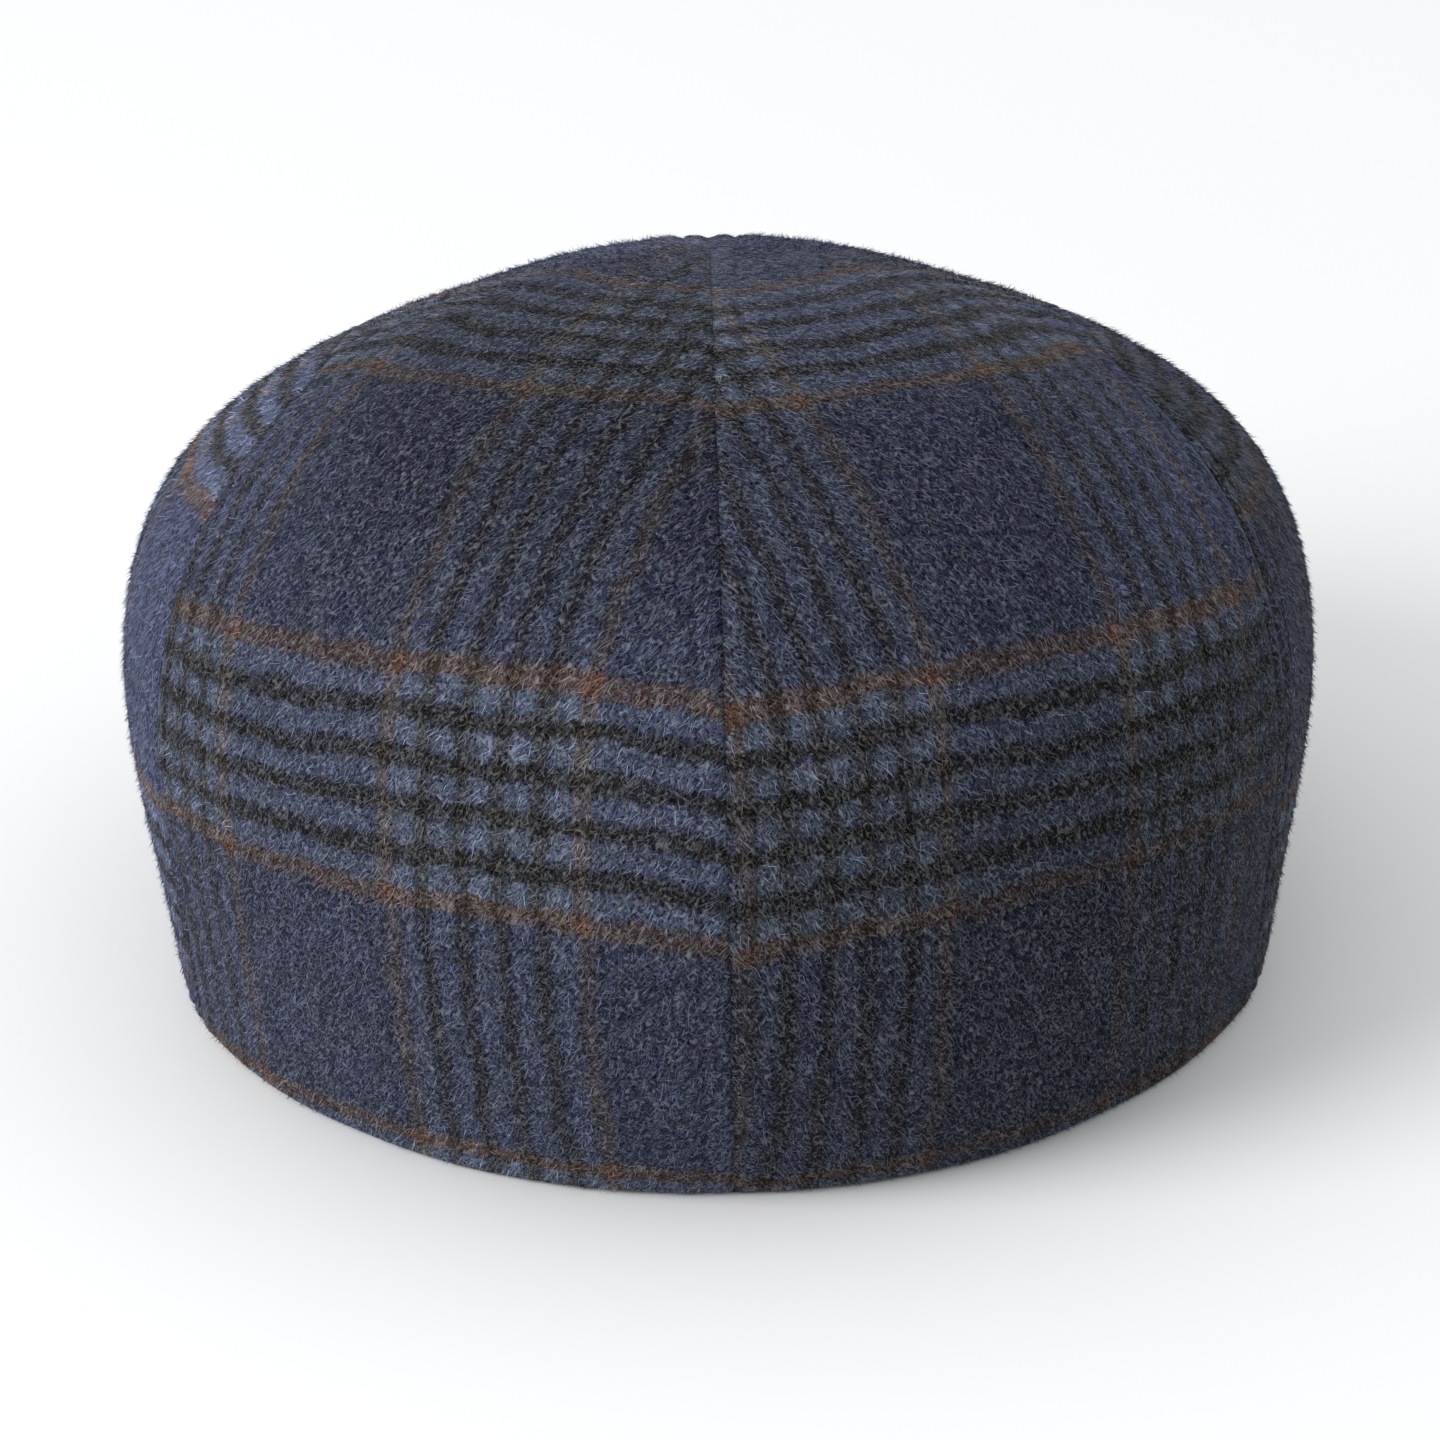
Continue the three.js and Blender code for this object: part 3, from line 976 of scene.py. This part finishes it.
def nap_group():
    """Brushed fibres on the flat cloth: short curly lines, most of them leaning one way.

    Tone is the height of the fibres that lie in the cloth, and Fibres marks the few pale ones
    on top.
    """
    tree, given, result = new_group(
        "Brushed nap",
        [("Cloth", "Vector", None), ("Lean", "Float", 1.0)]
        + [("Length", "Float", 1.0), ("Width", "Float", 0.15)],
        [("Tone", "Float"), ("Fibres", "Float")],
    )
    turn = {"Vector": given["Cloth"], "Angle": times(tree, given["Lean"], -1.0)}
    turned = add_node(tree, "ShaderNodeVectorRotate", turn, rotation_type="Z_AXIS")
    parts = split(tree, turned.outputs[0])
    along = calc(tree, "DIVIDE", parts["X"], given["Length"])
    beside = calc(tree, "DIVIDE", parts["Y"], given["Length"])
    reach = times(tree, given["Width"], 0.4)
    spots = []
    lines = []
    for depth, stretch, scale in NAP_LAYERS:
        flat = {"X": calc(tree, "DIVIDE", along, stretch), "Y": times(tree, beside, stretch)}
        spot = add_node(tree, "ShaderNodeCombineXYZ", {**flat, "Z": depth}).outputs[0]
        field = noise(tree, spot, scale, 1.0, Distortion=0.8)["Fac"]
        off = calc(tree, "ABSOLUTE", calc(tree, "SUBTRACT", field, 0.5))
        broken = rescale(tree, noise(tree, spot, 2.1 * scale, 0.0)["Fac"], 0.4, 0.66)
        lines.append(times(tree, rescale(tree, off, reach, 0.0), broken))
        spots.append(spot)
    grain = noise(tree, spots[1], 3.4, 2.0, Roughness=0.6)["Fac"]
    body = times(tree, rescale(tree, grain, 0.34, 0.72), 0.7)
    most = calc(tree, "MAXIMUM", calc(tree, "MAXIMUM", *lines[:2]), lines[2])
    connect(tree, calc(tree, "MAXIMUM", body, most), result["Tone"])
    connect(tree, most, result["Fibres"])
    return tree


def seam_group():
    """How deep the cloth lies by a seam: in the crease and in the dips that the stitches pull."""
    tree, given, result = new_group(
        "Sewn seam",
        [("Seam", "Vector", None), ("Stitches", "Float", 4.0), ("Pitch", "Float", 3.6)],
        [("Depth", "Float")],
    )
    parts = split(tree, given["Seam"])
    uneven = noise(tree, given["Seam"], 0.35, 3.0)["Fac"]
    crease = rescale(tree, parts["Y"], rescale(tree, uneven, 0.3, 0.7, 0.3, 1.1), 0.0)
    beside = calc(tree, "ABSOLUTE", calc(tree, "SUBTRACT", parts["Y"], given["Stitches"]))
    groove = rescale(tree, beside, 0.8, 0.1)
    half_pitch = calc(tree, "DIVIDE", given["Pitch"], 2.0)
    pulse = calc(tree, "DIVIDE", calc(tree, "PINGPONG", parts["X"], half_pitch), half_pitch)
    pulled = times(tree, groove, rescale(tree, pulse, 0.2, 0.7, 0.3), uneven)
    connect(tree, calc(tree, "MAXIMUM", times(tree, crease, 0.55), pulled), result["Depth"])
    return tree


# Materials

def read_uv(tree, label):
    return add_node(tree, "ShaderNodeUVMap", uv_map=label).outputs["UV"]


def map_place(tree, label):
    """A place in millimetres, from one of the piece's maps."""
    return calc_vector(tree, "MULTIPLY", read_uv(tree, label), (MAP_UNIT,) * 3)


def grey(tree, value):
    inputs = {"Red": value, "Green": value, "Blue": value}
    return add_node(tree, "ShaderNodeCombineColor", inputs).outputs[0]


def new_material(name, finish):
    """A material with a shader whose plain values are given by finish."""
    material = bpy.data.materials.new(name)
    material.use_nodes = True
    tree = material.node_tree
    tree.nodes.clear()
    shader = add_node(tree, "ShaderNodeBsdfPrincipled", finish)
    add_node(tree, "ShaderNodeOutputMaterial", {"Surface": shader.outputs[0]})
    return material, tree, shader


def woven_colour(tree, place, check, groups):
    """The check's colour at a place on the flat cloth."""
    inputs = {"Cloth": place, "Blur": YARN_BLUR, "Wander": YARN_WANDER, "Weft share": check.weft_share}
    for yarn in YARNS:
        inputs[yarn] = (*getattr(check, yarn.lower()), 1)
    return place_group(tree, groups["check"], inputs)["Colour"]


def cloth_material(check, nap, sewing, groups):
    """Brushed wool: the check, streaked with paler fibres over a darker ground, under painted light and
    shade.
    """
    material, tree, shader = new_material("brushed_wool", CLOTH_FINISH)
    place = map_place(tree, CLOTH_MAP)
    woven = woven_colour(tree, place, check, groups)
    fibre_length = in_millimetres(nap).fibre_length
    strands = {"Cloth": place, "Lean": nap.lean, "Length": fibre_length, "Width": 0.13}
    fibres = place_group(tree, groups["nap"], strands)
    seam = {"Seam": map_place(tree, SEAM_MAP), "Stitches": in_millimetres(sewing).stitch_distance}
    depth = place_group(tree, groups["seam"], seam)["Depth"]
    patchy = rescale(tree, noise(tree, place, 0.13, 4.0)["Fac"], 0.0, 1.0, 0.75, 1.25)
    tone = rescale(tree, fibres["Tone"], 0.0, 1.0, 0.02, 2.0)
    # Painted light and shade over each panel, from its map
    painted_light = split(tree, read_uv(tree, PAINTED_LIGHT_MAP))["X"]
    # Painted shade in the seam's crease and in the stitches' dips
    crease_shade = calc(tree, "SUBTRACT", 1.0, times(tree, depth, 0.6))
    shade = times(tree, tone, painted_light, patchy, crease_shade)
    dyed = blend_colours(tree, 1.0, woven, grey(tree, shade), "MULTIPLY")
    dyed = blend_colours(tree, 0.45, dyed, noise(tree, place, 0.8, 4.0)["Color"], "OVERLAY")
    # Pale lying fibres, dimmed by the same painted shade in the seams
    bright = times(tree, fibres["Fibres"], 0.35, crease_shade)
    connect(tree, blend_colours(tree, bright, dyed, LYING_WOOL), shader.inputs["Base Color"])
    height = calc(tree, "SUBTRACT", fibres["Tone"], times(tree, depth, 2.0))
    relief = {"Height": height, "Distance": 0.22 * MM, "Strength": 0.7}
    bump = add_node(tree, "ShaderNodeBump", relief)
    connect(tree, bump.outputs[0], shader.inputs["Normal"])


def nap_material(check, groups):
    """Raised fibres: the check's colours, paler, with painted light and shade, lightest at the tips."""
    material, tree, shader = new_material("raised_wool", NAP_FINISH)
    woven = woven_colour(tree, map_place(tree, CLOTH_MAP), check, groups)
    strand = split(tree, read_uv(tree, STRAND_MAP))
    along, draw = strand["X"], strand["Y"]
    chance = calc(tree, "POWER", draw, 3.0)
    tone = rescale(tree, chance, 0.0, 1.0, 0.5, 4.0)
    # Painted shade at the root and painted light towards the tip of each fibre
    tip = calc(tree, "MULTIPLY_ADD", along, 1.1, 0.75)
    # Painted light and shade over each panel, from its map
    painted_light = split(tree, read_uv(tree, PAINTED_LIGHT_MAP))["X"]
    shade = times(tree, tone, tip, painted_light)
    dyed = blend_colours(tree, 1.0, woven, grey(tree, shade), "MULTIPLY")
    # Undyed wool shows towards the tips: partly real paler wool, partly a painted haze of light
    often = calc(tree, "MULTIPLY_ADD", chance, 0.5, 0.03)
    pale = times(tree, often, along)
    warm = calc(tree, "FRACT", times(tree, draw, 29.0))
    undyed = blend_colours(tree, calc(tree, "POWER", warm, 2.0), COOL_WOOL, WARM_WOOL)
    connect(tree, blend_colours(tree, pale, dyed, undyed), shader.inputs["Base Color"])


def wool(context, name):
    """The cap's cloth or its raised fibres, both made when the first of them is asked for."""
    if name not in bpy.data.materials:
        check = context.scene.flat_cap_check
        weave = check_group(in_millimetres(check), stripe_group())
        groups = {"check": weave, "nap": nap_group(), "seam": seam_group()}
        cloth_material(check, context.scene.flat_cap_nap, context.scene.flat_cap_sewing, groups)
        nap_material(check, groups)
    return bpy.data.materials[name]


# Stage

def add_thing(name, data):
    thing = bpy.data.objects.new(name, data)
    bpy.context.scene.collection.objects.link(thing)
    return thing


def add_camera(stage):
    data = bpy.data.cameras.new("camera")
    camera = add_thing("camera", data)
    bpy.context.scene.camera = camera
    data.sensor_width = SENSOR
    data.lens = SENSOR * PHOTO_FOCUS / PHOTO_SIDE
    data.clip_start, data.clip_end = CLIP
    level = Vector((math.sin(stage.turn), math.cos(stage.turn), 0)) * math.cos(stage.elevation)
    back = level + Vector((0, 0, math.sin(stage.elevation)))
    target = Vector(to_frame(np.array(CAP_TARGET)))
    camera.location = target + back * stage.distance
    upward = Vector((0, 0, 1)) - back * back.z
    aim = target - upward.normalized() * AIM_BELOW * MM - camera.location
    turned = aim.to_track_quat("-Z", "Y").to_matrix() @ Matrix.Rotation(stage.roll, 3, "Z")
    camera.rotation_euler = turned.to_euler()


def add_key(power):
    data = bpy.data.lights.new("key", "AREA")
    data.shape = "DISK"
    data.size = KEY_SIZE
    data.energy = power
    light = add_thing("key", data)
    light.location = KEY_PLACE
    aim = Vector(KEY_TARGET) - Vector(KEY_PLACE)
    light.rotation_euler = aim.to_track_quat("-Z", "Y").to_euler()


def add_floor():
    bm = bmesh.new()
    bmesh.ops.create_grid(bm, x_segments=1, y_segments=1, size=FLOOR_HALF)
    mesh = bpy.data.meshes.new("floor")
    bm.to_mesh(mesh)
    bm.free()
    mesh.materials.append(new_material("pale_floor", FLOOR_FINISH)[0])
    add_thing("floor", mesh)


def add_world():
    world = bpy.data.worlds.new("studio")
    bpy.context.scene.world = world
    world.use_nodes = True
    background = world.node_tree.nodes["Background"]
    background.inputs["Color"].default_value = STUDIO_COLOUR
    background.inputs["Strength"].default_value = STUDIO_STRENGTH


# Operators

class FLATCAP_OT_crown(bpy.types.Operator):
    """Makes the crown: two centre panels, and a side panel over each ear."""

    bl_idname = "flat_cap.crown"
    bl_label = "Crown"

    def execute(self, context):
        sewing = in_millimetres(context.scene.flat_cap_sewing)
        for kind, node in CROWN_NODES.items():
            for side in SIDES:
                mesh = crown_panel(kind, side, sewing)
                add_piece(mesh, wool(context, "brushed_wool"), f"{node}_{side}")
        return {"FINISHED"}


class FLATCAP_OT_peak(bpy.types.Operator):
    """Makes the covered peak."""

    bl_idname = "flat_cap.peak"
    bl_label = "Peak"

    def execute(self, context):
        add_piece(peak_mesh(), wool(context, "brushed_wool"), "peak")
        return {"FINISHED"}


class FLATCAP_OT_nap(bpy.types.Operator):
    """Makes the raised fibres of the brushed cloth, a piece for each panel and the peak."""

    bl_idname = "flat_cap.nap"
    bl_label = "Nap"

    def execute(self, context):
        nap = context.scene.flat_cap_nap
        for seed, (name, kind) in enumerate(NAPPED.items()):
            panel = bpy.data.objects[name].data
            mesh = nap_mesh(f"nap_{name}", panel, math.prod(GRIDS[kind]), nap, seed)
            add_piece(mesh, wool(context, "raised_wool"))
        return {"FINISHED"}


class FLATCAP_OT_stage(bpy.types.Operator):
    """Makes the floor, the lights and the camera."""

    bl_idname = "flat_cap.stage"
    bl_label = "Stage"

    def execute(self, context):
        stage = context.scene.flat_cap_stage
        add_camera(stage)
        add_floor()
        add_world()
        add_key(stage.key_power)
        context.scene.view_settings.view_transform = "Standard"
        return {"FINISHED"}


class FLATCAP_PT_parts(bpy.types.Panel):
    bl_label = "Flat Cap"
    bl_idname = "FLATCAP_PT_parts"
    bl_space_type = "VIEW_3D"
    bl_region_type = "UI"
    bl_category = "Flat Cap"

    def draw(self, context):
        for name in SETTINGS:
            settings = getattr(context.scene, name)
            box = self.layout.box()
            for prop in type(settings).__annotations__:
                box.prop(settings, prop)
        for operator in OPERATORS:
            self.layout.operator(operator.bl_idname)


OPERATORS = (
    FLATCAP_OT_stage,
    FLATCAP_OT_crown,
    FLATCAP_OT_peak,
    FLATCAP_OT_nap,
)
SETTINGS = {
    "flat_cap_sewing": FlatCapSewing,
    "flat_cap_check": FlatCapCheck,
    "flat_cap_nap": FlatCapNap,
    "flat_cap_stage": FlatCapStage,
}


def register():
    for cls in (*SETTINGS.values(), *OPERATORS, FLATCAP_PT_parts):
        bpy.utils.register_class(cls)
    for name, cls in SETTINGS.items():
        setattr(bpy.types.Scene, name, bpy.props.PointerProperty(type=cls))


def unregister():
    for name in SETTINGS:
        delattr(bpy.types.Scene, name)
    for cls in reversed((*SETTINGS.values(), *OPERATORS, FLATCAP_PT_parts)):
        bpy.utils.unregister_class(cls)


def main():
    register()
    for operator in OPERATORS:
        module, name = operator.bl_idname.split(".")
        getattr(getattr(bpy.ops, module), name)()


if __name__ == "__main__":
    main()
